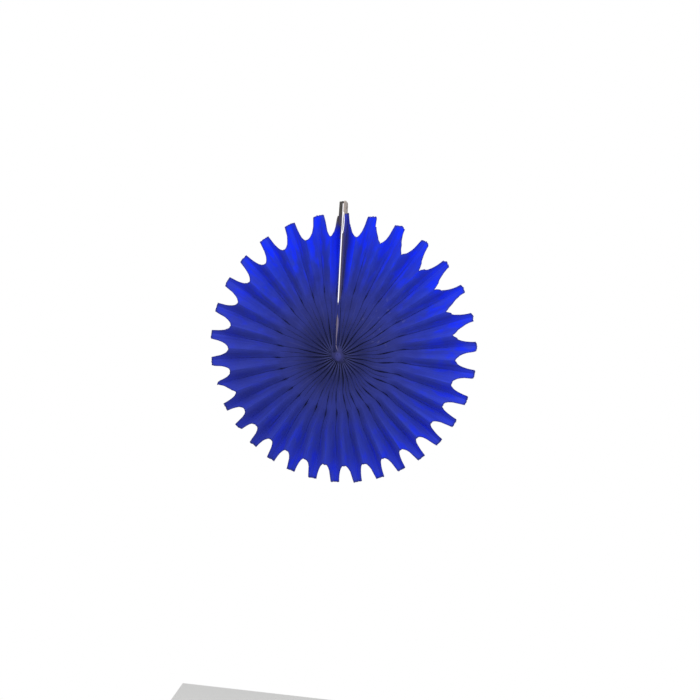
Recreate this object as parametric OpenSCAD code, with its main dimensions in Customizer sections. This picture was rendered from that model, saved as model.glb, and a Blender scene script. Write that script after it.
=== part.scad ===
// Honeycomb tissue paper fan, opened to a full round and hung by its two chipboard ends.
// The front faces -Y, +Z is up, and the origin is the middle of the hanging hole.

/* [Tissue] */
// Number of pleats round the fan
pleats = 32; // [28:1:36]
// Distance from the hub to the tips of the teeth, mm
tip_radius = 165; // [140:1:190]
// Width of each folded leaf from its front fold to its back fold, mm
leaf_width = 22; // [20:0.5:30]
// How far the cut between two teeth reaches in from the tips, mm
tooth_depth = 26.5; // [12:0.5:36]
// Flat end that the cut leaves on each leaf, measured across the leaf, mm
tooth_flat = 6.6; // [4:0.2:10]
// Wall of the bonded tissue, measured round the fan, mm
wall = 0.45; // [0.35:0.05:0.5]

/* [Hub and spread] */
// Radius of the pressed inner ends of the leaves, mm
hub_radius = 6; // [6:0.5:10]
// How far the pressed ends stand out at the front, mm
hub_rise = 1.6; // [0:0.2:4]
// How far the rim lies behind the hub, mm
dish = 16; // [6:1:30]
// Share by which the pleats at the top are pulled wider than the mean
top_spread = 0.112; // [0:0.004:0.14]
// Share by which the pleats are gathered at the top and bottom, or at the sides if negative
side_spread = -0.016; // [-0.02:0.002:0.02]
// Share by which the pleats are gathered in three places round the fan
third_spread = -0.013; // [-0.016:0.001:0.016]

/* [End boards] */
// Thickness of each chipboard end, mm
board_thickness = 1.8; // [1.2:0.1:2.4]
// How far the boards stand past the tips of the teeth, mm
board_rise = 16; // [14:1:30]
// Corner radius at the top of the boards, mm
board_corner = 4; // [2:0.5:7]
// How far the left board's front edge lies behind the right board's, mm
board_setback = 4; // [0.5:0.5:5]
// Clearance between the hub and the inner ends of the boards, mm
board_gap = 0.4; // [0.2:0.1:2]

/* [Hanging hole] */
// Radius of the hole through both boards, mm
hole_radius = 2.5; // [1.5:0.25:3.5]
// Distance from the top of the boards to the middle of the hole, mm
hole_drop = 8; // [6:0.5:10]

/* [Adhesive strip] */
// Thickness of the tape between the boards, mm
tape_thickness = 1.5; // [0.5:0.1:2]
// Width of the tape, back from the front edge of the right board, mm
tape_width = 6; // [5:0.5:7]
// Distance from the inner ends of the boards to the inner end of the tape, mm
tape_lift = 2; // [1:1:80]
// Distance from the top of the boards to the top of the tape, mm
tape_drop = 4; // [2:0.5:10]

/* [Hidden] */
$fn = 48;

tissue_blue = [0.06, 0.12, 0.75];
board_brown = [0.63, 0.56, 0.49];
tape_white = [0.92, 0.9, 0.85];

lean = atan(dish / tip_radius);
board_width = leaf_width * cos(lean);
board_top = tip_radius + board_rise;
board_foot = (hub_radius + board_gap) / cos(lean);
hole_height = board_top - hole_drop;
pack_half = board_thickness + tape_thickness / 2;
flap_middle = pack_half + wall / 2;

hole_y = leaf_width / 2 + hole_height * sin(lean) - board_width * cos(lean) / 2;
hole_z = hole_height * cos(lean) + board_width * sin(lean) / 2;

// Lines along each leaf: share of the way from its back fold to its front fold, and where the line ends.
cut_steps = 5;
flat_share = tooth_flat / leaf_width;
lines = concat(
    [[0, tip_radius]],
    [for (i = [0:cut_steps]) cut_line(90 * i / cut_steps)]
);
last = len(lines) - 1;
steps = [0, 0.07, 0.2, 0.42, 0.7, 1];
rows = len(steps);

function cut_line(a) = [1 - (1 - flat_share) * cos(a), tip_radius - tooth_depth * sin(a)];

// Angles run clockwise from 12 o'clock as seen from the front.
function fold_angle(k) =
    let (even = 360 * k / pleats)
    even + (top_spread * sin(even) + side_spread * sin(2 * even) + third_spread * sin(3 * even)) * 180 / PI;
function ridge_angle(k) = (fold_angle(k) + fold_angle(k + 1)) / 2;

function line_radius(i, j) = hub_radius + (lines[i][1] - hub_radius) * steps[j];
function back_y(r) = leaf_width / 2 + dish * r / tip_radius;

// Depth from the back fold to the front fold, which falls as the pleats open towards the rim.
function pleat_depth(r, half) =
    let (chord = 2 * r * sin(half / 2))
    sqrt(max(leaf_width * leaf_width - chord * chord, leaf_width * leaf_width / 16));

// A point at radius r and angle a, moved round the fan by shift and clear of the boards at the seam.
function spot(r, a, shift, y) = [
    r * sin(a) + flap_middle * cos(a / 2) + shift * cos(a),
    y,
    r * cos(a) - shift * sin(a)
];

// A leaf runs from the back fold at angle b to the front fold at angle f. Its front faces the open groove.
function bite(r, half, walls) = walls * wall / (r * half * PI / 180);
function leaf_front(b, f, i, j, walls) =
    let (
        r = line_radius(i, j),
        half = abs(f - b),
        root = bite(r, half, walls),
        u = root + (1 - root) * lines[i][0]
    )
    spot(r, b + (f - b) * u, -sign(f - b) * wall / 2, back_y(r) - pleat_depth(r, half) * u);
function leaf_back(b, f, i, j) =
    let (
        r = line_radius(i, j),
        half = abs(f - b),
        u = (1 - bite(r, half, 0.5)) * lines[i][0]
    )
    spot(r, b + (f - b) * u, sign(f - b) * wall / 2, back_y(r) - pleat_depth(r, half) * u);

// An end leaf lies flat on its board: side 1 is the right board, side -1 the left.
function flap_angle(side) = side > 0 ? 0 : 360;
function flap_front(side, i, j) =
    let (
        r = line_radius(i, j),
        root = bite(r, ridge_angle(0), 1),
        u = root + (1 - root) * lines[i][0]
    )
    spot(r, flap_angle(side), side * wall / 2, back_y(r) - leaf_width * u);
function flap_back(side, i, j) =
    let (r = line_radius(i, j))
    spot(r, flap_angle(side), -side * wall / 2, back_y(r) - leaf_width * lines[i][0]);

// Leaf A of pleat k rises from fold k to its ridge, leaf B falls from the ridge to fold k + 1.
function end_walls(k) = k == 0 || k == pleats ? 1 : 0.5;
function rise_front(k, i) = [
    for (j = [0:rows - 1])
        leaf_front(fold_angle(k), ridge_angle(k), i, j, end_walls(k))
];
function fall_front(k, i) = [
    for (j = [0:rows - 1])
        leaf_front(fold_angle(k + 1), ridge_angle(k), i, j, end_walls(k + 1))
];
function rise_back(k, i) = [for (j = [0:rows - 1]) leaf_back(fold_angle(k), ridge_angle(k), i, j)];
function fall_back(k, i) = [for (j = [0:rows - 1]) leaf_back(fold_angle(k + 1), ridge_angle(k), i, j)];

front_columns = concat(
    [for (i = [last:-1:1]) [for (j = [0:rows - 1]) flap_front(1, i, j)]],
    [
        for (k = [0:pleats - 1])
            each concat(
                [for (i = [0:last]) rise_front(k, i)],
                [for (i = [last:-1:1]) fall_front(k, i)]
            )
    ],
    [fall_front(pleats - 1, 0)],
    [for (i = [1:last]) [for (j = [0:rows - 1]) flap_front(-1, i, j)]]
);
back_columns = concat(
    [for (i = [last:-1:0]) [for (j = [0:rows - 1]) flap_back(1, i, j)]],
    [
        for (k = [0:pleats - 1])
            each concat(
                [for (i = [0:last - 1]) rise_back(k, i)],
                [for (i = [last:-1:0]) fall_back(k, i)]
            )
    ],
    [for (i = [0:last]) [for (j = [0:rows - 1]) flap_back(-1, i, j)]]
);
front_count = len(front_columns);
back_count = len(back_columns);
period = 2 * last + 1;

tissue_points = concat(
    [for (column = front_columns) each column],
    [for (column = back_columns) each column],
    [[0, back_y(0) - leaf_width - hub_rise, 0], [0, back_y(0), 0]]
);
front_middle = (front_count + back_count) * rows;
back_middle = front_middle + 1;

function at_front(c, j) = c * rows + j;
function at_back(c, j) = (front_count + c) * rows + j;

// Front and back lines that meet along the cut edge, in order round the fan.
edge_pairs = concat(
    [for (c = [0:last]) [c, c]],
    [
        for (k = [0:pleats - 1])
            let (f = last + period * k, b = last + 1 + period * k)
            each concat(
                [for (i = [0:last]) [f + i, b + i]],
                [for (i = [0:last]) [f + last + 1 + i, b + last + i]]
            )
    ],
    [for (i = [0:last]) [front_count - last - 1 + i, back_count - last - 1 + i]]
);

function skin(a, b, c, d) = [[a, b, c], [a, c, d]];

front_skin = [
    for (c = [0:front_count - 2])
        for (j = [0:rows - 2])
            each skin(at_front(c, j), at_front(c, j + 1), at_front(c + 1, j + 1), at_front(c + 1, j))
];
back_skin = [
    for (c = [0:back_count - 2])
        for (j = [0:rows - 2])
            each skin(at_back(c, j), at_back(c + 1, j), at_back(c + 1, j + 1), at_back(c, j + 1))
];
cut_edge = [
    for (n = [0:len(edge_pairs) - 2])
        let (p = edge_pairs[n], q = edge_pairs[n + 1], e = rows - 1)
        each concat(
            p[0] == q[0] ? [] : [[at_front(p[0], e), at_back(p[1], e), at_front(q[0], e)]],
            p[1] == q[1] ? [] : [[at_back(p[1], e), at_back(q[1], e), at_front(q[0], e)]]
        )
];
flap_edges = [
    for (j = [0:rows - 2])
        each concat(
            skin(at_front(0, j), at_back(0, j), at_back(0, j + 1), at_front(0, j + 1)),
            skin(
                at_front(front_count - 1, j + 1), at_back(back_count - 1, j + 1),
                at_back(back_count - 1, j), at_front(front_count - 1, j)
            )
        )
];
hub_front = concat(
    [for (c = [0:front_count - 2]) [front_middle, at_front(c, 0), at_front(c + 1, 0)]],
    [
        [front_middle, at_front(front_count - 1, 0), at_back(back_count - 1, 0)],
        [front_middle, at_back(back_count - 1, 0), at_back(0, 0)],
        [front_middle, at_back(0, 0), at_front(0, 0)]
    ]
);
hub_back = concat(
    [for (c = [last:back_count - last - 2]) [back_middle, at_back(c + 1, 0), at_back(c, 0)]],
    [[back_middle, at_back(last, 0), at_back(back_count - last - 1, 0)]]
);
seam_foot = [
    for (c = [0:last - 1])
        each skin(
            at_back(c, 0), at_back(back_count - 1 - c, 0),
            at_back(back_count - 2 - c, 0), at_back(c + 1, 0)
        )
];

// Moves the fan from its hub to the hanging hole.
module hung() {
    translate([0, -hole_y, -hole_z])
        children();
}

// Places a strip along the seam: its back edge on the back folds, its foot at the hub.
module along_seam() {
    translate([0, leaf_width / 2, 0])
        rotate([-lean, 0, 0])
            children();
}

// The chipboard strip of an end board from x0, with its front edge set back.
module board(x0, setback) {
    front = -board_width + setback;
    difference() {
        union() {
            translate([x0, front, board_foot])
                cube([board_thickness, -front, board_top - board_corner - board_foot]);
            translate([x0, front + board_corner, board_foot])
                cube([board_thickness, -front - 2 * board_corner, board_top - board_foot]);
            for (y = [front + board_corner, -board_corner])
                translate([x0, y, board_top - board_corner])
                    rotate([0, 90, 0])
                        cylinder(r = board_corner, h = board_thickness);
        }
        translate([-2 * pack_half, -board_width / 2, hole_height])
            rotate([0, 90, 0])
                cylinder(r = hole_radius, h = 4 * pack_half);
    }
}

// Folded and cut tissue, one bonded sheet from the left board round to the right board.
module tissue_pleats() {
    color(tissue_blue)
        hung()
            polyhedron(
                points = tissue_points,
                faces = concat(front_skin, back_skin, cut_edge, flap_edges, hub_front, hub_back, seam_foot)
            );
}

// Chipboard end on the left of the seam.
module left_end_board() {
    color(board_brown)
        hung()
            along_seam()
                board(-pack_half, board_setback);
}

// Chipboard end on the right of the seam.
module right_end_board() {
    color(board_brown)
        hung()
            along_seam()
                board(tape_thickness / 2, 0);
}

// Tape along the front edges of the boards, which holds them together.
module adhesive_strip() {
    color(tape_white)
        hung()
            along_seam()
                translate([-tape_thickness / 2, -board_width, board_foot + tape_lift])
                    cube([tape_thickness, tape_width, board_top - tape_drop - board_foot - tape_lift]);
}

tissue_pleats();
left_end_board();
right_end_board();
adhesive_strip();
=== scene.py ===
import math

import bpy
import numpy as np
from mathutils import Matrix


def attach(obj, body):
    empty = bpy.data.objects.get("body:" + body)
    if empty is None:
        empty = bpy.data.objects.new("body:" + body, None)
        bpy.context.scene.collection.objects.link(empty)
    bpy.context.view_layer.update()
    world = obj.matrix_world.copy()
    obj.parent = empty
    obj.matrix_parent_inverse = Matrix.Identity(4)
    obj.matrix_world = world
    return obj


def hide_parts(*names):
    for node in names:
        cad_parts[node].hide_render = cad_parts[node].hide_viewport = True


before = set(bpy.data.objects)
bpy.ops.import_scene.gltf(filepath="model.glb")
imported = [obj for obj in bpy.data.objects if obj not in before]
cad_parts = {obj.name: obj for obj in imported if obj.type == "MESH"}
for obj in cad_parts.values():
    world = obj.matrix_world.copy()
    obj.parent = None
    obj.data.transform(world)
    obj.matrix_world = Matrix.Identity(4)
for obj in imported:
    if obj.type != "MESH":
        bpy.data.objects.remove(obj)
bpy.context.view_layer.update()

# End boards: two strips of grey-brown chipboard, cut on a guillotine and punched near the top.
# Pulp is pressed into the board, so it shows flecks and short fibres that run along the strip.
# The CAD solids keep their shape. Where the tissue lies on them, below the tab, they are painted dark purple
# as the shade in the seam's groove, and near the hub a dim pink-brown as the shade on their edges.
MM = 0.001
# Painted shade: the left board's tones are a darker copy of the right board's, as the shade on its side.
plain_and_shaded_board_tones = {
    "left_end_board": ((0.085, 0.078, 0.073, 1), (0.05, 0.045, 0.042, 1)),
    "right_end_board": ((0.56, 0.5, 0.45, 1), (0.38, 0.33, 0.295, 1)),
}
# Painted shade: these darker tones colour the faces that look forward, the boards' front edges.
dark_edge_tones = {
    "left_end_board": (0.06, 0.055, 0.052, 1),
    "right_end_board": (0.29, 0.25, 0.225, 1),
}
board_fleck = (0.05, 0.04, 0.036, 1)
board_groove_shade = (0.05, 0.042, 0.085, 1)
board_hub_shade = (0.15, 0.125, 0.215, 1)
pulp_scale, fibre_scale, fleck_scale = 420, 900, 1500
fibre_stretch, fleck_stretch = (1, 1, 0.16), (1, 1, 0.5)
back_dark_from, back_dark_to, back_dark_ragged = 1 * MM, 7 * MM, 4 * MM
groove_shade_top, groove_shade_fade, groove_shade_ragged = -2 * MM, 8 * MM, 6 * MM
groove_shade_bottom, board_hub_shade_top = -119 * MM, -127 * MM


class Socket:
    """A socket in a material that is written like a number, so that its operators add Math nodes."""

    def __init__(self, tree, socket=None):
        self.tree = tree
        self.socket = socket

    def add(self, kind, settings=None, values=None, out=0):
        """Adds a node: its settings first, a ramp's stops among them, then its sockets' values or links."""
        node = self.tree.nodes.new(kind)
        for name, value in (settings or {}).items():
            if name == "stops":
                stops = node.color_ramp.elements
                while len(stops) < len(value):
                    stops.new(1)
                for stop, (place, colour) in zip(stops, value):
                    stop.position, stop.color = place, colour
            else:
                setattr(node, name, value)
        for name, value in (values or {}).items():
            if isinstance(value, Socket):
                self.tree.links.new(value.socket, node.inputs[name])
            else:
                node.inputs[name].default_value = value
        return Socket(self.tree, node.outputs[out]) if node.outputs else None

    def math(self, operation, a, b):
        """Math node on two values or links."""
        return self.add("ShaderNodeMath", {"operation": operation}, {0: a, 1: b})

    def __add__(self, other):
        return self.math("ADD", self, other)

    def __sub__(self, other):
        return self.math("SUBTRACT", self, other)

    def __rsub__(self, other):
        return self.math("SUBTRACT", other, self)

    def __mul__(self, other):
        return self.math("MULTIPLY", self, other)

    __radd__ = __add__
    __rmul__ = __mul__

    def between(self, low, high):
        """Share of the way from low to high, clamped and eased at both ends."""
        return self.add(
            "ShaderNodeMapRange", {"interpolation_type": "SMOOTHSTEP"},
            {"Value": self, "From Min": low, "From Max": high},
        )

    def mix(self, first, second):
        """Colour that goes from first to second as this value goes from 0 to 1."""
        return self.add(
            "ShaderNodeMix", {"data_type": "RGBA", "clamp_factor": True},
            {0: self, 6: first, 7: second}, out=2,
        )

    def spot(self):
        """Place on the object, in metres from its origin."""
        return self.add("ShaderNodeTexCoord", out="Object")

    def part(self, axis):
        """One coordinate of a vector: X, Y or Z."""
        return self.add("ShaderNodeSeparateXYZ", {}, {0: self}, out=axis)

    def kept(self, name):
        """Number that the mesh keeps on each vertex under this name."""
        return self.add("ShaderNodeAttribute", {"attribute_name": name}, out="Fac")

    def noise(self, scale, detail=3.0, stretch=(1, 1, 1)):
        """Noise on these coordinates, with stretch as the pattern's scale on each axis."""
        place = self.add("ShaderNodeMapping", {}, {"Vector": self, "Scale": stretch})
        return self.add(
            "ShaderNodeTexNoise", {}, {"Vector": place, "Scale": scale, "Detail": detail}
        )

    def bump(self, height, strength, distance):
        """Normal tilted by a height, for a Normal socket."""
        return self.add(
            "ShaderNodeBump", {}, {"Height": height, "Strength": strength, "Distance": distance}
        )

    def cover(self, values):
        """Surface with these values or links, joined to the material's output."""
        surface = self.add("ShaderNodeBsdfPrincipled", {}, values)
        self.add("ShaderNodeOutputMaterial", {}, {"Surface": surface})


def new_material(name):
    """Node material without nodes, and an empty socket from which its nodes are added."""
    material = bpy.data.materials.new(name)
    material.use_nodes = True
    material.node_tree.nodes.clear()
    return material, Socket(material.node_tree)


def dress(obj, material):
    """Gives an object this material and no other."""
    obj.data.materials.clear()
    obj.data.materials.append(material)


for name, (board_pale, board_deep) in plain_and_shaded_board_tones.items():
    chipboard, new = new_material(name.replace("end_board", "chipboard"))
    spot = new.spot()
    pulp = spot.noise(pulp_scale, 5)
    fibre = spot.noise(fibre_scale, 4, fibre_stretch)
    fleck = spot.noise(fleck_scale, 2, fleck_stretch).between(0.66, 0.74)
    raw = (0.55 * pulp + 0.45 * fibre).between(0.34, 0.66).mix(board_deep, board_pale)
    # Painted shade on the boards' front edges: faces that look forward take the darker tones.
    normal = new.add("ShaderNodeTexCoord", out="Normal")
    front_shade_mask = (0 - normal.part("Y")).between(0.5, 0.9)
    front_shaded = front_shade_mask.mix(raw, dark_edge_tones[name])
    # Towards the back edge each board turns darker, from just behind the middle of its depth.
    darkened = (spot.part("Y") + back_dark_ragged * pulp).between(back_dark_from, back_dark_to)
    browned = (0.8 * darkened).mix(front_shaded, dark_edge_tones[name])
    flecked = (0.6 * fleck).mix(browned, board_fleck)
    # Painted shade: below the tab the boards turn dark purple as the seam's groove shade, and near the hub
    # the dim pink-brown of their shaded edges.
    ragged = spot.part("Z") + groove_shade_ragged * pulp
    groove_shaded = ragged.between(groove_shade_top, groove_shade_top - groove_shade_fade).mix(flecked, board_groove_shade)
    new.cover({
        "Base Color": ragged.between(groove_shade_bottom, board_hub_shade_top).mix(groove_shaded, board_hub_shade),
        "Roughness": 0.78 + 0.18 * fibre,
        "Specular IOR Level": 0.2,
        "Normal": new.bump(fibre + 0.5 * pulp, 0.35, 0.25 * MM),
    })
    dress(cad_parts[name], chipboard)

# Adhesive strip: white paper tape that holds the boards together along their front edges.
# Its cut edge is the pale line down the seam, which is painted dark as shade below the glued end leaves.
# The paper has soft fibres and a few yellowed patches.
tape_white = (0.87, 0.86, 0.885, 1)
tape_yellowed = (0.78, 0.74, 0.66, 1)
tape_shade = (0.115, 0.098, 0.17, 1)
tape_left_shade = (0.07, 0.06, 0.058, 1)
age_scale, paper_scale, paper_stretch = 60, 1400, (1, 1, 0.3)
tape_shade_start, tape_shade_full = -112 * MM, -118 * MM
tape_unshaded_half, tape_rim_half = 0.42 * MM, 0.66 * MM
left_shade_bottom, left_shade_top = -34 * MM, -22 * MM
left_shade_start, left_shade_full = 0.05 * MM, 0.3 * MM
shaded_rims, unshaded_rims = 0.85, 0.0


def tape_paper(name, rim_share):
    """White paper, darkened by painted shade at its lower end and, by a share, on its rims, most of all on
    the left one.
    """
    paper, new = new_material(name)
    spot = new.spot()
    beside, height = spot.part("X"), spot.part("Z")
    age_and_shade = spot.noise(age_scale).between(0.55, 0.8)
    paper_fibre = spot.noise(paper_scale, 4, paper_stretch)
    paper_tone = (0.7 * age_and_shade).mix(tape_white, tape_yellowed)
    off_middle = new.math("ABSOLUTE", beside, 0)
    rim_shaded = (rim_share * off_middle.between(tape_unshaded_half, tape_rim_half)).mix(paper_tone, tape_shade)
    left_rim = (0 - beside).between(left_shade_start, left_shade_full)
    left_shaded = rim_share * left_rim * height.between(left_shade_bottom, left_shade_top)
    upper = left_shaded.mix(rim_shaded, tape_left_shade)
    new.cover({
        "Base Color": height.between(tape_shade_start, tape_shade_full).mix(upper, tape_shade),
        "Roughness": 0.6 + 0.2 * paper_fibre,
        "Specular IOR Level": 0.3,
        "Normal": new.bump(paper_fibre, 0.25, 0.12 * MM),
    })
    return paper


dress(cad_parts["adhesive_strip"], tape_paper("paper_tape", shaded_rims))

# Parted tape: near the top the tape's paper has split, and its right layer bows out from the seam.
# It is the same paper, seen in the photograph as a second pale line beside the first.
# It follows the boards, which lean back by the fan's dish and hang from the hole near their top.
tip_radius = 165.0
leaf_width = 22.0
dish = 16.0
hole_height = 173.0
board_lean = math.atan(dish / tip_radius)
lean_cos, lean_sin = math.cos(board_lean), math.sin(board_lean)
hole_y = leaf_width / 2 + hole_height * lean_sin - leaf_width * lean_cos ** 2 / 2
hole_z = hole_height * lean_cos + leaf_width * lean_cos * lean_sin / 2
hang_point = np.array([0, hole_y, hole_z])

parted_rows = 25
parted_from, parted_to = 141.0, 167.0
parted_start, parted_half, parted_thickness = 0.8, 0.42, 0.2
parted_bow, parted_lift, parted_forward = 1.5, 0.35, 0.2


def beside_seam(x, depth, height):
    """Points in mm from the hub: height runs up the boards' leaning back edges, and depth runs back from
    them and square to them, so that the boards' front edges have a depth below zero."""
    y = leaf_width / 2 + depth * lean_cos + height * lean_sin
    z = height * lean_cos - depth * lean_sin
    return np.stack(np.broadcast_arrays(x, y, z), axis=-1)


def parted_tape():
    """Ribbon that leaves the tape's right edge, bows out by a flattened half sine and comes back, and stands
    a little in front of the right board's front edge all the way."""
    along = np.linspace(0, 1, parted_rows)[None, :]
    side = np.array([[-1.0], [0.0], [1.0]])
    bow = np.sin(np.pi * along) ** 0.7
    height = parted_from + (parted_to - parted_from) * along
    depth = -leaf_width * lean_cos - parted_lift - parted_forward * bow
    return beside_seam(parted_start + parted_bow * bow + parted_half * side, depth, height)


def hung(points):
    """Points in mm from the hub, moved to metres from the hanging hole."""
    return (points - hang_point) * MM


def grid_faces(columns, rows, closed=False):
    """Quads of a grid of columns by rows. A closed grid joins its last column to its first."""
    at = np.arange(columns * rows).reshape(columns, rows)
    here, after = (at, np.roll(at, -1, axis=0)) if closed else (at[:-1], at[1:])
    corners = [here[:, :-1], here[:, 1:], after[:, 1:], after[:, :-1]]
    return np.stack(corners, axis=-1).reshape(-1, 4)


def surface_object(name, points, faces):
    """Mesh object at the origin from points in metres and quads, shaded smooth."""
    mesh = bpy.data.meshes.new(name)
    mesh.from_pydata(points.reshape(-1, 3).tolist(), [], faces.tolist())
    mesh.update()
    mesh.polygons.foreach_set("use_smooth", np.ones(len(mesh.polygons), bool))
    obj = bpy.data.objects.new(name, mesh)
    bpy.context.scene.collection.objects.link(obj)
    return obj


def thicken(obj, name, thickness):
    """Wall of a thickness in mm, half of it on each side of the surface."""
    wall = obj.modifiers.new(name, "SOLIDIFY")
    wall.thickness, wall.offset = thickness * MM, 0


layer = parted_tape()
parted = surface_object("parted_tape", hung(layer), grid_faces(*layer.shape[:2]))
thicken(parted, "paper_wall", parted_thickness)
dress(parted, tape_paper("parted_paper", unshaded_rims))
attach(parted, "root")

# Peeled ply: above the teeth the left board's outer ply has come loose and turns out from its front edge.
# It is the same chipboard, painted dark as shade, seen in the photograph as a dark strip to the left of the
# tape.
ply_rows, ply_columns = 17, 4
ply_from, ply_to = 150.0, 180.0
ply_width, ply_turn, ply_thickness = 4.2, math.radians(35), 0.5
ply_opening, ply_narrowing = 0.4, 0.2
board_outer, board_setback = 2.4, 4.0


def peeled_ply():
    """Ribbon with one side on the left board's front edge, while the other leaves it to the left and turns
    back by an angle. Its width grows from nothing behind the tooth, then eases off."""
    along = np.linspace(0, 1, ply_rows)[None, :]
    side = np.linspace(0, 1, ply_columns)[:, None]
    width = ply_width * np.clip(along / ply_opening, 0, 1) ** 0.6 * (1 - ply_narrowing * along)
    height = ply_from + (ply_to - ply_from) * along
    depth = board_setback - leaf_width * lean_cos + width * side * math.sin(ply_turn)
    return beside_seam(-board_outer - width * side * math.cos(ply_turn), depth, height)


flake = peeled_ply()
ply = surface_object("peeled_ply", hung(flake), grid_faces(*flake.shape[:2]))
thicken(ply, "ply_wall", ply_thickness)
dress(ply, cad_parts["left_end_board"].data.materials[0])
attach(ply, "root")

# Tissue leaves: one long strip of dyed tissue, folded into 32 pleats and die-cut along its outer edge.
# The pleats open into a round whose teeth are the back folds, with an end leaf glued on each board.
# Near the hub the pleats are glued to each other, and between the glue they part in two rings of slits.
pleats = 32
right_end, first_leaf, last_leaf, left_end = -1, 0, 2 * pleats - 1, 2 * pleats
tooth_depth = 26.5
tooth_flat = 6.6
flat_share = tooth_flat / leaf_width
corner_round = 1.3
top_spread, side_spread, third_spread = 0.112, -0.016, -0.013
sheet_thickness = 0.34
sharp_fold = math.radians(55)
leaf_start = 4.6
inner_rows = np.concatenate([
    np.linspace(leaf_start, 34, 8), np.linspace(37, 85, 15), np.linspace(93, 110, 3)
])
outer_rows = np.linspace(0, 1, 13)[1:]
back_columns = (0, 0.012, 0.03, 0.055, 0.09, 0.15, 0.22)
front_columns = (0.94, 0.975)
curve_columns = 10


def ramp(value, start, end):
    """Share of the way from start to end, held at 0 before and at 1 after."""
    return np.clip((value - start) / (end - start), 0, 1)


def near_turn(angle, turn, gain, less):
    """Share that is full at one turn of the fan and fades beside it: the cosine of the angle between, times
    a gain, less an amount, held between 0 and 1."""
    return np.clip(gain * np.cos(angle - turn) - less, 0, 1)


def fold_angle(k):
    """Back fold k, clockwise from 12 o'clock: an even share of the turn, plus sines of one, two and three
    waves round the fan, which make the pleats wider at the top and the sides and closer at the bottom."""
    even = 2 * np.pi * k / pleats
    return (
        even + top_spread * np.sin(even) + side_spread * np.sin(2 * even)
        + third_spread * np.sin(3 * even)
    )


def strip_columns():
    """Leaf number and share across the leaf, 0 at the back fold and 1 at the front, for each column of
    the strip: end leaf in from the front, then leaves that rise and fall in turn, then the other end leaf.
    The columns lie closest at the folds and where the die turns from the flat into its curve."""
    curve = 1 - (1 - flat_share) * np.cos(np.radians(np.linspace(0, 90, curve_columns)))
    across = np.sort(np.concatenate([back_columns, curve, front_columns]))
    leaves = np.arange(right_end, left_end + 1)
    share = np.where(leaves[:, None] % 2, across[::-1], across)[:, :-1]
    numbers = np.repeat(leaves, across.size - 1)
    return np.append(numbers, left_end)[:, None], np.append(share, 1.0)[:, None]


# Cut edge of the leaves: how single leaves, by number, and stretches of the rim differ from the die's curve.
# A stretch gives its middle turn, then the gain and the loss that set how far it reaches.
wide_flanks = {
    63: 0.05, 62: 0.36, 61: -0.19, 60: 0.16, 59: -0.06, 56: -0.07, 47: 0.09,
    -1: 0.66, 0: -0.16, 1: 0.15, 2: -0.14, 3: 0.17, 5: 0.05, 14: 0.09,
}
broad_stretch, broad_flank = (math.radians(178), 5, 1), 0.145
slant_stretch, slant_flank, slant_other = (math.radians(310), 1.6, 0.6), 0.19, -0.25
low_stretch, low_rise = (math.radians(130), 1.5, 0), 2.3
left_stretch, left_notch = (math.radians(286), 3, 2), 2.2
long_stretch, long_tooth = (math.radians(30), 3, 2), 2.0
worn_leaf, worn_corner, worn_in, worn_out = 41, 3.2, (0.0, 0.3), (0.7, 0.35)
tall_end, short_end, tip_across = 2.0, 5.6, (0.48, 0.18)
slip_stretch, slip_straight, slip_burr = (math.radians(48), 3, 1.9), 0.45, 1.5
burr_across, burr_width = 0.8, 0.07
deep_stretch, deep_notch, deep_across = (math.radians(60), 6, 4.9), 3.0, 0.86
torn_tooth, torn_fall, torn_curve = 23, 14.0, 0.75
cut_roughness = 0.25
inset_points = 5


def cut_radius(across, flat):
    """Radius where the die cuts the leaf: the tip radius over the flat share, with a rubbed corner, then a
    quarter ellipse that falls by the tooth's depth to the front fold."""
    along = ramp(across, 1, flat)
    drop = tooth_depth * np.sqrt(np.where(across <= flat, 0, 1 - along ** 2))
    return tip_radius - drop - corner_round * ramp(across, 0, flat) ** 3 * (1 - drop / tooth_depth)


def cut_edge_radius(leaf, across, rising, tooth, front):
    """Radius of the cut edge on each column: the die's curve with flanks, lengths and notches that change
    round the fan, one worn corner, a tall and a short tooth at the seam, a frayed stretch where the die
    slipped, one torn tooth that runs to a point, and a fine roughness between the folds."""
    widened = np.select([leaf == number for number in wide_flanks], list(wide_flanks.values()), 0)
    slanted = near_turn(front, *slant_stretch) * np.where(rising, slant_other, 1)
    broad = near_turn(front, *broad_stretch) * rising
    end = cut_radius(across, flat_share + widened + slant_flank * slanted + broad_flank * broad)
    raised = low_rise * near_turn(front, *low_stretch) - left_notch * near_turn(front, *left_stretch)
    end = end + raised * across ** 2
    longer = near_turn(front, *long_stretch) * (leaf > first_leaf)
    end = end + long_tooth * longer * (1 - across) ** 3
    corner = ramp(across, *worn_in) * ramp(across, *worn_out)
    end = end - worn_corner * (leaf == worn_leaf) * corner
    by_tip = ramp(across, *tip_across)
    end = end + tall_end * np.select([leaf == right_end, leaf == first_leaf], [1, by_tip], 0)
    end = end - short_end * (leaf >= last_leaf) * by_tip

    slipped = near_turn(front, *slip_stretch)
    straight = tip_radius - tooth_depth * ramp(across, flat_share, 1)
    straightened = slip_straight * (straight - end) * (across > flat_share)
    burr = slip_burr * np.exp(-((across - burr_across) / burr_width) ** 2)
    end = end + slipped * np.where(rising, straightened, burr)
    end = end - deep_notch * near_turn(front, *deep_stretch) * ramp(across, deep_across, 1)
    torn = tooth == torn_tooth
    end = np.where(torn & ~rising, tip_radius - tooth_depth * across ** torn_curve, end)
    end = np.where(torn & rising, np.minimum(end, tip_radius - torn_fall * across), end)
    rough = np.random.default_rng(7).normal(0, cut_roughness, end.shape)
    return end + np.where((across < 1) & (across > 0), rough * (1 + slipped), 0)


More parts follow.
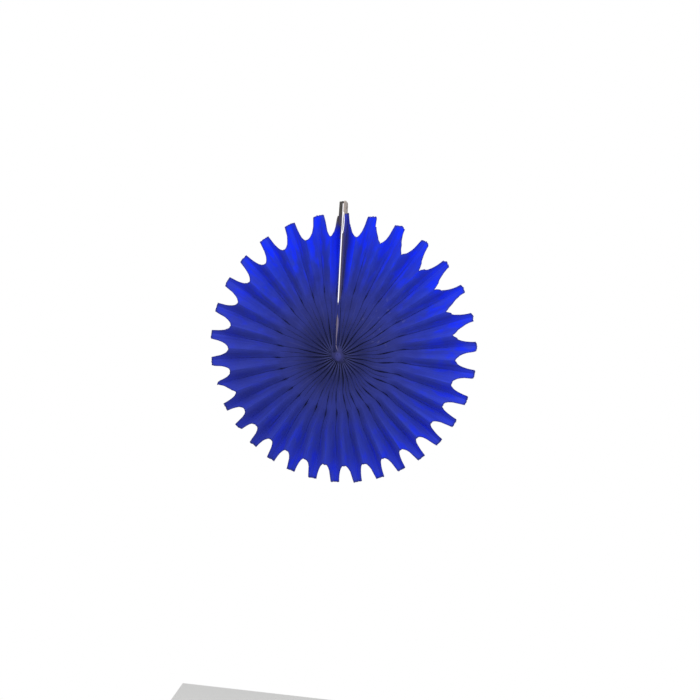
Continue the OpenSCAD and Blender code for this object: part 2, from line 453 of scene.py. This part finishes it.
def cut_inset(across, r, end):
    """Distance in mm on the flat leaf from each point to its own leaf's cut edge, as the nearest of many
    points along that edge."""
    leaves = left_end - right_end + 1
    columns = (across.size - 1) // leaves
    knots = np.arange(across.size)
    first = np.minimum(knots // columns, leaves - 1) * columns
    own = first[:, None] + np.linspace(0, columns, inset_points * columns + 1)
    cut_across = np.interp(own, knots, across.ravel()) * leaf_width
    cut = np.stack([cut_across, np.interp(own, knots, end.ravel())], axis=-1)
    here = np.stack(np.broadcast_arrays(across * leaf_width, r), axis=-1)
    return np.min(np.linalg.norm(here[:, :, None] - cut[:, None], axis=-1), axis=-1)


# Glue between the pleats: gaps and radii in mm, shares, and the steps that make one pleat unlike the next.
slack_stretch = (math.radians(125), 1, 0)
inner_slit, outer_slit = (42.0, 66.0), (67.0, 83.0)
slit_scatter, slit_shift, outer_share = 2.0, 3.5, 1.15
hub_gap, glued_gap, slit_gap = 0.28, 0.1, 0.75
hub_reach, hub_fade, hub_scatter, gap_scatter = 40.0, 16.0, 9.0, 0.4
narrowest, widest, left_behind = 0.02, 0.6, 0.2
glued_reach, open_reach, open_curve, fold_ease = 70.0, 130.0, 0.45, 0.4
held_forward, held_in, held_out = 0.5, (30.0, 60.0), (136.0, 92.0)
crease_depth, crease_width, crease_shade = 1.7, 0.12, 0.42
crease_reach, crease_fade, crease_scatter = 62.0, 26.0, 13.0
slit_step, ray_step, gap_step, crease_step = 2.7, 5.1, 4.3, 3.7


def glued_pleats(r, across, chord, front, tooth, pleat):
    """Share of the pleat's depth by which each point has come forward, with the shares of painted shade in
    its slits and creases. A glued leaf comes forward by a power curve within the gap to the next pleat, which
    lens shapes widen in two rings. Further out a free leaf eases from fold to fold by a sine. Between the
    two, the back folds are held forward. Gaps, slits and creases end at radii that differ by a sine of the
    pleat's number."""
    slack = near_turn(front, *slack_stretch)
    open_share = ramp(r, glued_reach, open_reach)
    scattered = r - slit_scatter * np.sin(slit_step * tooth) - slit_shift * np.sin(front)
    inner = np.sin(np.pi * ramp(scattered, *inner_slit)) ** 2
    outer = np.sin(np.pi * ramp(scattered, *outer_slit)) ** (4 - 2 * slack)
    lens = (slack * inner + outer_share * outer) * (1 - open_share)

    ray_end = hub_reach + hub_scatter * np.sin(ray_step * tooth)
    ray_gap = hub_gap * (1 + gap_scatter * np.sin(gap_step * tooth))
    closed = glued_gap + (ray_gap - glued_gap) * ramp(r, ray_end, ray_end - hub_fade)
    gap = closed + (slit_gap - closed) * lens
    wide = np.clip(gap / chord, narrowest, widest)
    glued = 1 - (1 - across) ** (math.log(left_behind) / np.log(1 - wide))
    free = across - fold_ease * np.sin(2 * np.pi * across) / (2 * np.pi)
    eased = glued + open_share ** open_curve * (free - glued)
    held = held_forward * ramp(r, *held_in) * ramp(r, *held_out)

    crease_end = crease_reach + crease_scatter * np.sin(crease_step * pleat)
    crease = ramp(across, 1 - crease_width, 1) * ramp(r, crease_end, crease_end - crease_fade)
    slit = np.maximum(lens * ramp(across, wide, 0), crease_shade * ramp(crease, 0.5, 1))
    return eased + held * (1 - eased), slit, crease


# End leaves: half the seam's opening in mm at radii in mm, where they close over the boards' front edges.
flap_middle = 2.775
wrap_share = 0.878
wrap_reach, wrap_end = 66.0, 138.0
wrap_forward, left_opening = 0.45, 0.9
seam_opening = (
    (6, 0.3), (12, 0.35), (20, 0.5), (28, 1.0), (36, 1.7), (43, 1.5), (48, 0.02), (60, 0.02), (64, 1.0),
)


def end_leaf(r, across, side):
    """Sideways place and distance forward of an end leaf, flat on its board. Near the hub, and further up on
    the left, its last share turns round the board's front edge and closes on the seam's opening."""
    near_hub = r < wrap_reach
    wraps = near_hub | ((side < 0) & (r < wrap_end))
    opening = np.where(near_hub, np.interp(r, *np.transpose(seam_opening)), left_opening)
    share = np.where(wraps, ramp(across, wrap_share, 1), 0)
    front_edge = leaf_width - np.where((side < 0) & ~near_hub & wraps, board_setback, 0)
    forward = np.where(wraps, ramp(across, 0, wrap_share) * front_edge, across * leaf_width)
    return side * (flap_middle - (flap_middle - opening) * share), forward + wrap_forward * wraps


# Lie of the strip: how it sways, rumples and hangs, in mm, and how far teeth and notches are pulled round.
sway, sway_in, sway_out = 1.9, (24.0, 44.0), (96.0, 70.0)
sway_start, sway_length, least_slack = 30.0, 66.0, 0.3
rumple, rumple_length, rumple_step = 0.35, 9.0, 2.3
notch_stretch, notch_turn = (math.radians(7), 3, 2.2), math.radians(1.6)
last_notch_turn = math.radians(0.9)
tooth_side, tooth_turn, tooth_spread = math.radians(222), math.radians(0.45), 0.5
hub_sag, hub_drift, settled_reach = 3.6, 5.0, (100.0, 20.0)
hang_stretch = 0.011

# Marks on the strip: radii in mm and shares across the leaf for painted light and shade: a thinned tip in
# shade, lit leaves, paler ridges and darker leaves by the seam.
bare_reach = (148.0, 156.0)
ridge_width, ridge_reach = 0.7, (72.0, 24.0)
flap_shade_in, flap_shade_out = (62.0, 70.0), (174.0, 136.0)
fold_shade, fold_shade_in, fold_shade_across = 0.9, (62.0, 82.0), 0.3
lit_in, lit_out, lit_across = (70.0, 120.0), (150.0, 140.0), (0.15, 0.45)
strip_step = 0.11


def tissue_sheet():
    """Middle surface of the strip in mm from the hub, and the marks that its material reads. A point lies at
    its radius on the angle between its two folds. Its depth is the triangle that the leaf's width makes with
    the chord between the folds, times the share by which it has come forward. The end leaves lie on the
    boards. Near the hub the strip sags and its leaves drift aside, and further out they stretch in height."""
    leaf, across = strip_columns()
    pleat = np.clip(leaf // 2, 0, pleats - 1)
    rising = leaf % 2 == 0
    tooth = np.where(rising, pleat, pleat + 1)
    back = fold_angle(tooth)
    front = (fold_angle(pleat) + fold_angle(pleat + 1)) / 2
    end = cut_edge_radius(leaf, across, rising, tooth, front)
    start = inner_rows[-1]
    inner = np.broadcast_to(inner_rows, (leaf.size, inner_rows.size))
    r = np.concatenate([inner, start + (end - start) * outer_rows], axis=1)

    chord = 2 * r * np.sin(np.abs(front - back) / 2)
    depth = np.sqrt(np.maximum(leaf_width ** 2 - chord ** 2, (leaf_width / 4) ** 2))
    forward, slit, crease = glued_pleats(r, across, chord, front, tooth, pleat)
    slack = least_slack + (1 - least_slack) * near_turn(front, *slack_stretch)
    swing = ramp(r, *sway_in) * ramp(r, *sway_out)
    bend = sway * slack * swing * np.sin(2 * np.pi * (r - sway_start) / sway_length)
    by_notch = notch_turn * near_turn(front, *notch_stretch) * (leaf > first_leaf + 1)
    by_last_notch = last_notch_turn * np.isin(leaf, [last_leaf - 1, last_leaf])
    by_tooth = tooth_turn * np.exp(-((front - tooth_side) / tooth_spread) ** 2)
    pulled = (by_notch + by_last_notch) * across ** 2 + by_tooth
    angle = back + (front - back) * across + bend / r + pulled * (r / tip_radius) ** 3
    open_share = ramp(r, glued_reach, open_reach)
    waves = np.sin(r / rumple_length + rumple_step * leaf) * np.sin(np.pi * across)
    behind = leaf_width / 2 + dish * r / tip_radius

    right, left = leaf == right_end, leaf == left_end
    flap = right | left
    flap_x, flap_forward = end_leaf(r, across, np.where(right, 1, -1))
    settled = ramp(r, *settled_reach) ** 1.5
    drift = hub_drift * settled * (1 - np.cos(angle)) / 2
    x = np.where(flap, flap_x, r * np.sin(angle) + flap_middle * np.cos(angle / 2) + drift)
    creased = crease_depth * crease + rumple * open_share * waves
    y = np.where(flap, behind - flap_forward, behind - depth * forward + creased)
    stretched = r * np.cos(angle) * (1 + hang_stretch * r / tip_radius)
    z = np.where(flap, r, stretched) - hub_sag * settled

    ridge = np.clip(1 - (1 - across) * chord / ridge_width, 0, 1) * ramp(r, *ridge_reach)
    flap_shade = right * ramp(r, *flap_shade_in) * ramp(r, *flap_shade_out)
    by_fold = (leaf == first_leaf) * ramp(across, fold_shade_across, 0) * ramp(r, *fold_shade_in)
    lit_side = np.select([leaf == last_leaf, leaf == first_leaf], [1, ramp(across, *lit_across)], 0)
    marks = {
        "reach": r / tip_radius,
        "bare": (leaf == last_leaf) * ramp(r, *bare_reach),
        "ridge": np.where(flap, 0, ridge),
        "seam": np.maximum(flap_shade, fold_shade * by_fold),
        "lit": ramp(r, *lit_in) * ramp(r, *lit_out) * lit_side,
        "inset": cut_inset(across, r, end),
        "slit": slit,
        "strip": np.broadcast_to(strip_step * np.arange(leaf.size)[:, None], r.shape),
    }
    return np.stack([x, y, z], axis=-1), marks


def keep_value(obj, name, values):
    """Number on each vertex that the material reads by name."""
    layer = obj.data.attributes.new(name, "FLOAT", "POINT")
    layer.data.foreach_set("value", np.ascontiguousarray(values, np.float32).ravel())


sheet, sheet_marks = tissue_sheet()
leaves = surface_object("tissue_leaves", hung(sheet), grid_faces(*sheet.shape[:2]))
for name, values in sheet_marks.items():
    keep_value(leaves, name, values)
leaves.data.set_sharp_from_angle(angle=sharp_fold)
thicken(leaves, "sheet_wall", sheet_thickness)

# Colour of the tissue: blue dye, bright at the rim and painted darker toward the hub as navy shade among its
# deep pleats.
# Painted shade makes it greyer low down and dimmer on the left, and painted light brightens patches and the
# leaves by the seam.
# Streaks and combed lines follow the leaves. Painted shade darkens the slits and the seam, a painted
# highlight makes the ridges paler, and the cut edge is darker.
dye_and_shade_by_reach = [
    (0.06, (0.0078, 0.0095, 0.051, 1)), (0.15, (0.0078, 0.0095, 0.052, 1)),
    (0.28, (0.0142, 0.0174, 0.102, 1)), (0.42, (0.0134, 0.018, 0.14, 1)),
    (0.56, (0.0105, 0.018, 0.208, 1)), (0.72, (0.0075, 0.0235, 0.385, 1)),
    (0.88, (0.005, 0.0255, 0.635, 1)), (1.0, (0.002, 0.024, 0.71, 1)),
]
bright_blue = (0.001, 0.021, 0.87, 1)
faded_blue = (0.024, 0.042, 0.4, 1)
low_shade_blue = (0.058, 0.08, 0.47, 1)
left_shade_blue = (0.034, 0.042, 0.22, 1)
ridge_highlight_blue = (0.06, 0.067, 0.225, 1)
combed_navy = (0.012, 0.018, 0.2, 1)
cut_navy = (0.016, 0.02, 0.16, 1)
shade_navy = (0.006, 0.007, 0.05, 1)
seam_shade_purple = (0.045, 0.042, 0.13, 1)
speck_pale = (0.15, 0.15, 0.3, 1)
bare_shade_grey = (0.14, 0.12, 0.125, 1)
sheen_blue = (0.55, 0.6, 1.0, 1)
low_from, low_to, low_ragged = -20 * MM, -200 * MM, 30 * MM
dim_way, dim_start, dim_full = (-0.978, 0.0, -0.208), 112 * MM, 165 * MM
hub_shade_from, hub_shade_to = 6 * MM, -22 * MM
speck_middle, speck_reach, speck_full = (56 * MM, -24 * MM, -135 * MM), 36 * MM, 21.6 * MM
edge_reach, edge_full = 2.0, 0.5
grain_length = 5.0
mottle_scale, streak_scale, crepe_scale = 75, 4.0, 16.0
patch_scale, comb_scale, speck_scale = 1.0, 2.6, 2.2

tissue, new = new_material("dyed_tissue")
spot = new.spot()
reach = new.kept("reach")
grain = new.add("ShaderNodeCombineXYZ", {}, {"X": new.kept("strip"), "Y": grain_length * reach, "Z": 0.0})
streak = grain.noise(streak_scale, 4, (1.6, 0.5, 1))
mottle = spot.noise(mottle_scale, 4)
crepe = grain.noise(crepe_scale, 5, (2.2, 1.0, 1))
dye_and_shade = new.add("ShaderNodeValToRGB", {"stops": dye_and_shade_by_reach}, {"Fac": reach})
shade = (0.55 * streak + 0.45 * mottle).between(0.36, 0.62)
faded = (0.5 * (1 - shade) * reach).mix(dye_and_shade, faded_blue)
# Painted shade: toward the bottom the outer leaves turn greyer and darker, and their bright patches weaker.
low_side = (spot.part("Z") + low_ragged * mottle).between(low_from, low_to)
low_shaded = (0.36 * low_side * reach).mix(faded, low_shade_blue)
# Painted shade: towards the left, and a little down, the tissue is dimmer and its bright patches weaker.
dim_side = new.add(
    "ShaderNodeVectorMath", {"operation": "DOT_PRODUCT"}, {0: spot, 1: dim_way}, out="Value"
)
dim = dim_side.between(dim_start, dim_full)
age_and_shade = (0.42 * dim).mix(low_shaded, left_shade_blue)
# Painted light: random patches of the outer leaves, fewer low down and on the left, and the leaves marked lit
# by the seam turn bright blue, as lit flanks.
patch = grain.noise(patch_scale, 3, (1.1, 1.3, 1)).between(0.47, 0.66)
glow = (0.85 - 0.3 * low_side - 0.45 * dim) * patch * reach.between(0.4, 0.9)
brightened = (glow + 0.9 * new.kept("lit")).mix(age_and_shade, bright_blue)
comb = grain.noise(comb_scale, 2, (1, 0.09, 1)).between(0.45, 0.68) * reach.between(0.35, 0.65)
combed = (0.3 * comb).mix(brightened, combed_navy)
hub_shade = spot.part("X").between(hub_shade_from, hub_shade_to) * reach.between(0.36, 0.2)
hub_shaded = (0.32 * hub_shade).mix(combed, shade_navy)
speck_way = new.add(
    "ShaderNodeVectorMath", {"operation": "DISTANCE"}, {0: spot, 1: speck_middle}, out="Value"
)
speck = grain.noise(speck_scale, 0, (0.7, 2.2, 1)).between(0.68, 0.8)
dust = speck * speck_way.between(speck_reach, speck_full)
dusted = (0.17 * dust).mix(hub_shaded, speck_pale)
# Painted shade: the right end leaf and the first leaf's back fold beside the seam are darkened to purple.
seam_shaded = (0.9 * new.kept("seam")).mix(dusted, seam_shade_purple)
# Painted highlight: the front ridges near the hub are made paler.
highlighted = (0.7 * new.kept("ridge")).mix(seam_shaded, ridge_highlight_blue)
outlined = (0.7 * new.kept("inset").between(edge_reach, edge_full)).mix(highlighted, cut_navy)
# The last leaf's tip by the seam is painted grey: thinned tissue there, darkened further as painted shade
# from the boards.
darkened = (new.kept("bare") * (0.6 + 0.6 * mottle)).mix(outlined, bare_shade_grey)
new.cover({
    # Painted shade: the slits and creases are darkened to navy.
    "Base Color": (0.85 * new.kept("slit").between(0.1, 0.5)).mix(darkened, shade_navy),
    "Roughness": 0.82 + 0.14 * mottle,
    "Specular IOR Level": 0.12,
    "Sheen Weight": 0.04,
    "Sheen Roughness": 0.6,
    "Sheen Tint": sheen_blue,
    "Normal": new.bump(crepe + 0.6 * streak, 0.3, 0.5 * MM),
})
dress(leaves, tissue)
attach(leaves, "root")
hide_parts("tissue_pleats")

# Pressed hub: the inner ends of all the leaves, glued and pressed together into a small round boss.
# Its front is smooth from the glue, with faint flutes where the folds run in and a dimple by the seam.
# A pale rib stands where the two end leaves were pressed together above the boss.
hub_rise = 1.6
hub_front, hub_back = -leaf_width / 2 - hub_rise, leaf_width / 2
hub_rows, pleat_columns = 30, 8
hub_columns = pleats * pleat_columns + 1
dome_end, flange_end, side_end = 0.5, 0.65, 0.8
boss_radius, boss_stretch, flange_radius = 4.5, 1.25, 7.2
boss_drop, flange_drop = 1.3, 2.4
boss_x, boss_z = 3.2, -4.0
flute_depth, seam_tongue, rib_turn = 0.2, 6.6, 0.055
dimple_x, dimple_z, dimple_depth, dimple_size = 2.0, -1.8, 0.7, 0.55
weld_distance = 0.02


def pressed_hub():
    """Round boss on a grid of turns by rows, in mm from the hub, with its rib and height shares. The profile
    runs from the front's middle over a low dome, back to a flange behind the folds, down the side and in to
    the back's middle. Flutes follow the pleats by a cosine, the flange reaches up the seam in a tongue, the
    rib is a bell curve round the seam's turn, and a bell-shaped dimple lies in the front."""
    pleat = np.linspace(0, pleats, hub_columns)[:, None]
    turn = fold_angle(pleat)
    share = np.linspace(0, 1, hub_rows)[None, :]
    dome = ramp(share, 0, dome_end)
    flange = ramp(share, dome_end, flange_end)
    side = ramp(share, flange_end, side_end)
    outward = 1 - ramp(share, side_end, 1)
    off_centre = 1 - dome * flange
    off_seam = (turn + np.pi) % (2 * np.pi) - np.pi
    rib = np.exp(-(off_seam / rib_turn) ** 2)
    off_rib = 1 - np.exp(-(off_seam / (1.5 * rib_turn)) ** 4)

    tongue = seam_tongue * np.clip(np.cos(turn), 0, 1) ** 6 * flange
    flute = flute_depth * np.cos(2 * np.pi * pleat) * dome ** 4
    radius = (boss_radius * dome + (flange_radius - boss_radius) * flange - flute + tongue) * outward
    spread = flap_middle * np.cos(turn / 2) * flange * outward * off_rib
    drift = hub_drift * (1 - np.cos(turn)) / 2 * flange
    boss_shift = boss_x * off_centre * (1 - rib * np.sqrt(flange))
    x = radius * np.sin(turn) + spread + boss_shift + drift
    tall = 1 + (boss_stretch - 1) * off_centre
    z = tall * radius * np.cos(turn) + boss_z * off_centre - hub_sag * (1 - off_centre)
    length = hub_back - hub_front - boss_drop - flange_drop
    y = hub_front + boss_drop * dome ** 2.4 + flange_drop * flange * (1 - rib) + length * side
    away = (x - dimple_x) ** 2 + (z - dimple_z) ** 2
    dimple = dimple_depth * np.exp(-away / (2 * dimple_size ** 2)) * (share < dome_end)
    marks = {
        "rib": rib * np.clip(1.6 * flange, 0, 1) * outward,
        "height": np.broadcast_to(1 - dome ** 2, x.shape),
    }
    return np.stack([x, y + dimple, z], axis=-1), marks


boss, boss_marks = pressed_hub()
hub = surface_object("pressed_hub", hung(boss), grid_faces(hub_columns, hub_rows, closed=True))
for name, values in boss_marks.items():
    keep_value(hub, name, values)
weld = hub.modifiers.new("hub_middles", "WELD")
weld.merge_threshold = weld_distance * MM

glue_blue = (0.024, 0.027, 0.155, 1)
glue_shade_blue = (0.016, 0.018, 0.1, 1)
rib_violet = (0.13, 0.115, 0.2, 1)
glue_scale, press_scale = 500, 1100

pressed_tissue, new = new_material("pressed_tissue")
spot = new.spot()
glue = spot.noise(glue_scale, 4)
# Painted shade: the boss's flange and sides, below its raised dome, are painted a deeper blue.
raised = new.kept("height").between(0.0, 0.4)
pressed = (raised * glue.between(0.2, 0.6)).mix(glue_shade_blue, glue_blue)
new.cover({
    "Base Color": new.kept("rib").mix(pressed, rib_violet),
    "Roughness": 0.55 + 0.25 * glue,
    "Specular IOR Level": 0.25,
    "Normal": new.bump(spot.noise(press_scale, 4), 0.25, 0.2 * MM),
})
dress(hub, pressed_tissue)
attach(hub, "root")
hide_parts("tissue_pleats")

# Floor: a plain pale sheet well below the fan, which hangs free of it.
# It is part of the studio, not of the fan, and only a corner of it reaches into the photo's frame.
floor_width, floor_height, floor_lines = 0.6, -0.79, 9
floor_grey, floor_white = (0.8, 0.8, 0.79, 1), (0.86, 0.86, 0.85, 1)

pale_floor, new = new_material("pale_floor")
new.cover({
    "Base Color": new.spot().noise(3, 2).mix(floor_grey, floor_white),
    "Roughness": 0.9,
})
lines = np.linspace(-floor_width / 2, floor_width / 2, floor_lines)
floor_points = np.stack(np.broadcast_arrays(lines[:, None], lines[None, :], floor_height), axis=-1)
floor = surface_object("studio_floor", floor_points, grid_faces(floor_lines, floor_lines)[:, ::-1])
dress(floor, pale_floor)

# Studio: white to the camera and in reflections, a dim even light on the fan from all round.
# A soft lamp stands in front of the fan, high and a little to the right, and a weaker one fills its shade.
ambient = 0.57
white_light = (1, 1, 1, 1)
seen_rays = ("Is Camera Ray", "Is Glossy Ray", "Is Transmission Ray")

world = bpy.data.worlds.new("studio")
bpy.context.scene.world = world
world.use_nodes = True
world.node_tree.nodes.clear()
new = Socket(world.node_tree)
camera_ray, glossy_ray, passing_ray = (new.add("ShaderNodeLightPath", out=ray) for ray in seen_rays)
even_light = new.add("ShaderNodeBackground", {}, {"Color": white_light, "Strength": ambient})
white = new.add("ShaderNodeBackground", {}, {"Color": white_light, "Strength": 1.0})
seen = new.add(
    "ShaderNodeMath", {"operation": "ADD", "use_clamp": True}, {0: camera_ray + glossy_ray, 1: passing_ray}
)
backdrop = new.add("ShaderNodeMixShader", {}, {0: seen, 1: even_light, 2: white})
new.add("ShaderNodeOutputWorld", {}, {"Surface": backdrop})


def stand(obj, right, up, back, place):
    """Puts a lamp or camera in the scene, at a place and turned to three directions of length one."""
    turned = np.stack([right, up, back], axis=1)
    last_row = [np.zeros((1, 3)), np.ones((1, 1))]
    obj.matrix_world = Matrix(np.block([[turned, place[:, None]], last_row]).tolist())
    bpy.context.scene.collection.objects.link(obj)


def soft_lamp(name, off_axis, clockwise, distance, width, power):
    """Square lamp that faces the fan's middle, off the fan's axis by one angle and round it by another."""
    tilt, turn = math.radians(off_axis), math.radians(clockwise)
    way = np.array([
        math.sin(tilt) * math.sin(turn), -math.cos(tilt), math.sin(tilt) * math.cos(turn)
    ])
    lamp = bpy.data.lights.new(name, "AREA")
    lamp.energy, lamp.size = power, width
    right = np.cross([0, 0, 1], way)
    right /= np.linalg.norm(right)
    fan_middle = hung(np.zeros(3))
    stand(bpy.data.objects.new(name, lamp), right, np.cross(way, right), way, fan_middle + way * distance)


soft_lamp("key_lamp", off_axis=36, clockwise=14, distance=0.7, width=0.6, power=4.6)
soft_lamp("fill_lamp", off_axis=34, clockwise=160, distance=1.8, width=1.2, power=2.3)

# Camera: where the photograph was taken from, to the right of the fan, above its middle and turned a little.
# Its angles, its aim and its focal length in pixels put the teeth where the photograph has them.
photo_size = 700
focal_pixels = 829.93
sensor_width, far_end = 36, 20
camera_right, camera_above, camera_roll = (math.radians(a) for a in (8.436, 5.872, 2.059))
camera_distance = 1.0
aim = hung(np.array([15.55, 0, 3.6]))

towards = np.array([
    math.sin(camera_right) * math.cos(camera_above),
    -math.cos(camera_right) * math.cos(camera_above),
    math.sin(camera_above),
])
level = np.cross(-towards, [0, 0, 1])
level /= np.linalg.norm(level)
upright = np.cross(level, -towards)
image_right = level * math.cos(camera_roll) + upright * math.sin(camera_roll)
image_up = upright * math.cos(camera_roll) - level * math.sin(camera_roll)

lens = bpy.data.cameras.new("photo_camera")
lens.sensor_width = sensor_width
lens.lens = focal_pixels / photo_size * sensor_width
lens.clip_end = far_end
camera = bpy.data.objects.new("photo_camera", lens)
stand(camera, image_right, image_up, towards, aim + towards * camera_distance)
bpy.context.scene.camera = camera
bpy.context.scene.view_settings.view_transform = "Standard"
